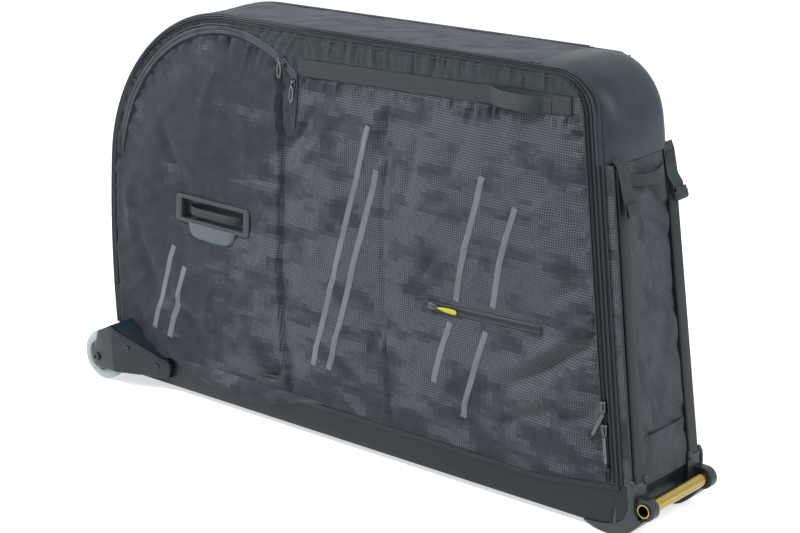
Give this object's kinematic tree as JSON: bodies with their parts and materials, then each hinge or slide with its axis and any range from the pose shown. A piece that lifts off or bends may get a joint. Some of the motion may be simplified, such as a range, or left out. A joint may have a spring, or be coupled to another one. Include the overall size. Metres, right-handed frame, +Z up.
{
  "type": "bike travel case",
  "caption": "Padded fabric bike travel case on two rear wheels, with a zipped side lid, wheel pockets, carrying handles, corner struts and a front axle tube.",
  "frame": {"origin": "centre of the footprint, on the floor", "axes": "+X forwards to the axle tube, the zipped lid on the -Y side, +Z up"},
  "size_m": [1.38, 0.4076, 0.812],
  "materials": {
    "side_fabric": "woven polyester, matt",
    "band_fabric": "woven polyester, matt",
    "lining": "smooth lining",
    "coated_hood": "coated, satin",
    "base_sheet": "coated tarpaulin, smooth",
    "trim": "satin",
    "grey_moulding": "fine satin",
    "black_moulding": "satin",
    "webbing": "woven webbing",
    "zip": "fine teeth on tape",
    "slider_metal": "satin black",
    "cord_pull": "braided cord with a metal crimp",
    "yellow_pull": "moulded tab",
    "gold_tube": "gold anodised",
    "steel": "zinc plated",
    "wheel_tread": "pale translucent",
    "wheel_core": "satin",
    "rod": "glass fibre rod",
    "board": "smooth sheet",
    "pad": "foam block in cloth",
    "rubber": "matt"
  },
  "bodies": {
    "bag": {"base_tub": "base_sheet", "base_board": "board", "base_trims": "trim", "front_foot_left": "grey_moulding", "front_foot_right": "grey_moulding", "foot_bolts": "steel", "axle_tube": "gold_tube", "wheel_housing_left": "black_moulding", "wheel_housing_right": "black_moulding", "wheel_cover_left": "black_moulding", "wheel_cover_right": "black_moulding", "cover_screws": "steel", "wheel_axles": "steel", "gusset_rear_top": "band_fabric", "hood": "coated_hood", "front_panel": "band_fabric", "front_pocket": "band_fabric", "front_strut_left": "grey_moulding", "front_strut_right": "grey_moulding", "strut_rods": "rod", "hood_straps": "webbing", "strap_buckle": "black_moulding", "side_border_left": "side_fabric", "side_wall_right": "side_fabric", "wheel_liner_right": "lining", "pocket_gusset_right": "lining", "grip_plate_right": "rubber", "side_webbing_right": "webbing", "frame_pad": "pad"},
    "side_lid": {"lid_panel": "side_fabric", "main_zip": "zip", "wheel_liner_left": "lining", "pocket_gusset_left": "lining", "grip_plate_left": "rubber", "side_webbing_left": "webbing", "pocket_zip": "zip"},
    "wheel_flap_left": {"wheel_flap_left": "side_fabric", "wheel_zip_left": "zip"},
    "wheel_flap_right": {"wheel_flap_right": "side_fabric", "wheel_zip_right": "zip"},
    "wheel_slider_left": {"wheel_slider_left": "slider_metal"},
    "wheel_slider_side": {"wheel_slider_side": "slider_metal"},
    "wheel_slider_right": {"wheel_slider_right": "slider_metal"},
    "main_slider_upper": {"main_slider_upper": "slider_metal"},
    "main_slider_lower": {"main_slider_lower": "slider_metal"},
    "main_pull_upper": {"main_pull_upper": "cord_pull"},
    "main_pull_lower": {"main_pull_lower": "cord_pull"},
    "pocket_slider": {"pocket_slider": "slider_metal"},
    "pocket_pull": {"pocket_pull": "yellow_pull"},
    "carry_handle_left": {"carry_handle_left": "webbing"},
    "carry_handle_right": {"carry_handle_right": "webbing"},
    "side_grip_left": {"side_grip_left": "webbing"},
    "side_grip_right": {"side_grip_right": "webbing"},
    "front_handle": {"front_handle": "webbing"},
    "wheel_left": {"wheel_tyre_left": "wheel_tread", "wheel_hub_left": "wheel_core", "wheel_bearings_left": "steel"},
    "wheel_right": {"wheel_tyre_right": "wheel_tread", "wheel_hub_right": "wheel_core", "wheel_bearings_right": "steel"}
  },
  "joints": [
    {"name": "wheel_left_spin", "type": "hinge", "parent": "bag", "child": "wheel_left", "pos_m": [-0.638, -0.173, 0.052], "axis": [0, 1, 0], "continuous": true},
    {"name": "wheel_right_spin", "type": "hinge", "parent": "bag", "child": "wheel_right", "pos_m": [-0.638, 0.173, 0.052], "axis": [0, 1, 0], "continuous": true},
    {"name": "side_lid_open", "type": "hinge", "parent": "bag", "child": "side_lid", "pos_m": [-0.4, -0.13189, 0.0735], "axis": [0.9996, 0.0287, 0], "range_deg": [0, 90]},
    {"name": "wheel_flap_left_open", "type": "hinge", "parent": "side_lid", "child": "wheel_flap_left", "pos_m": [-0.64082, -0.10503, 0.4754], "axis": [0.9671, 0.0234, 0.2533], "range_deg": [0, 110]},
    {"name": "wheel_flap_right_open", "type": "hinge", "parent": "bag", "child": "wheel_flap_right", "pos_m": [-0.64082, 0.10503, 0.4754], "axis": [-0.9671, 0.0234, -0.2533], "range_deg": [0, 110]},
    {"name": "wheel_slider_left_run", "type": "hinge", "parent": "wheel_flap_left", "child": "wheel_slider_left", "pos_m": [-0.343, -0.10114, 0.465], "axis": [-0.0027, -0.9965, 0.0831], "range_deg": [0, 110]},
    {"name": "wheel_slider_side_run", "type": "slide", "parent": "wheel_flap_left", "child": "wheel_slider_side", "axis": [0, -0.0647, -0.9979], "range_m": [0, 0.04]},
    {"name": "wheel_slider_right_run", "type": "hinge", "parent": "wheel_flap_right", "child": "wheel_slider_right", "pos_m": [-0.343, 0.10114, 0.465], "axis": [0.0027, -0.9965, -0.0831], "range_deg": [0, 110]},
    {"name": "main_slider_upper_run", "type": "slide", "parent": "side_lid", "child": "main_slider_upper", "axis": [-0.1253, 0.0245, 0.9918], "range_m": [0, 0.38]},
    {"name": "main_slider_lower_run", "type": "slide", "parent": "side_lid", "child": "main_slider_lower", "axis": [-0.1253, 0.0245, 0.9918], "range_m": [-0.04, 0]},
    {"name": "main_pull_upper_swing", "type": "hinge", "parent": "main_slider_upper", "child": "main_pull_upper", "pos_m": [0.58099, -0.10758, 0.2184], "axis": [-0.9918, -0.0232, -0.1253], "range_deg": [0, 95]},
    {"name": "main_pull_lower_swing", "type": "hinge", "parent": "main_slider_lower", "child": "main_pull_lower", "pos_m": [0.58631, -0.1085, 0.1764], "axis": [-0.9918, -0.0254, -0.1253], "range_deg": [0, 95]},
    {"name": "pocket_slider_run", "type": "slide", "parent": "side_lid", "child": "pocket_slider", "axis": [0.9991, 0.0163, 0.038], "range_m": [0, 0.215]},
    {"name": "pocket_pull_swing", "type": "hinge", "parent": "pocket_slider", "child": "pocket_pull", "pos_m": [0.20958, -0.10853, 0.33009], "axis": [0.0007, -0.0454, -0.999], "range_deg": [0, 95]},
    {"name": "carry_handle_left_lift", "type": "hinge", "parent": "side_lid", "child": "carry_handle_left", "pos_m": [0.36599, -0.08758, 0.75709], "axis": [-1, 0.0071, 0], "range_deg": [0, 80]},
    {"name": "carry_handle_right_lift", "type": "hinge", "parent": "bag", "child": "carry_handle_right", "pos_m": [0.36599, 0.08758, 0.75709], "axis": [1, 0.0071, 0], "range_deg": [0, 80]},
    {"name": "side_grip_left_lift", "type": "hinge", "parent": "side_lid", "child": "side_grip_left", "pos_m": [-0.37519, -0.09111, 0.39982], "axis": [-0.9999, -0.0118, 0], "range_deg": [0, 40]},
    {"name": "side_grip_right_lift", "type": "hinge", "parent": "bag", "child": "side_grip_right", "pos_m": [-0.37519, 0.09111, 0.39982], "axis": [0.9999, -0.0118, 0], "range_deg": [0, 40]},
    {"name": "front_handle_lift", "type": "hinge", "parent": "bag", "child": "front_handle", "pos_m": [0.57485, 0, 0.63896], "axis": [0, -1, 0], "range_deg": [0, 80]}
  ]
}
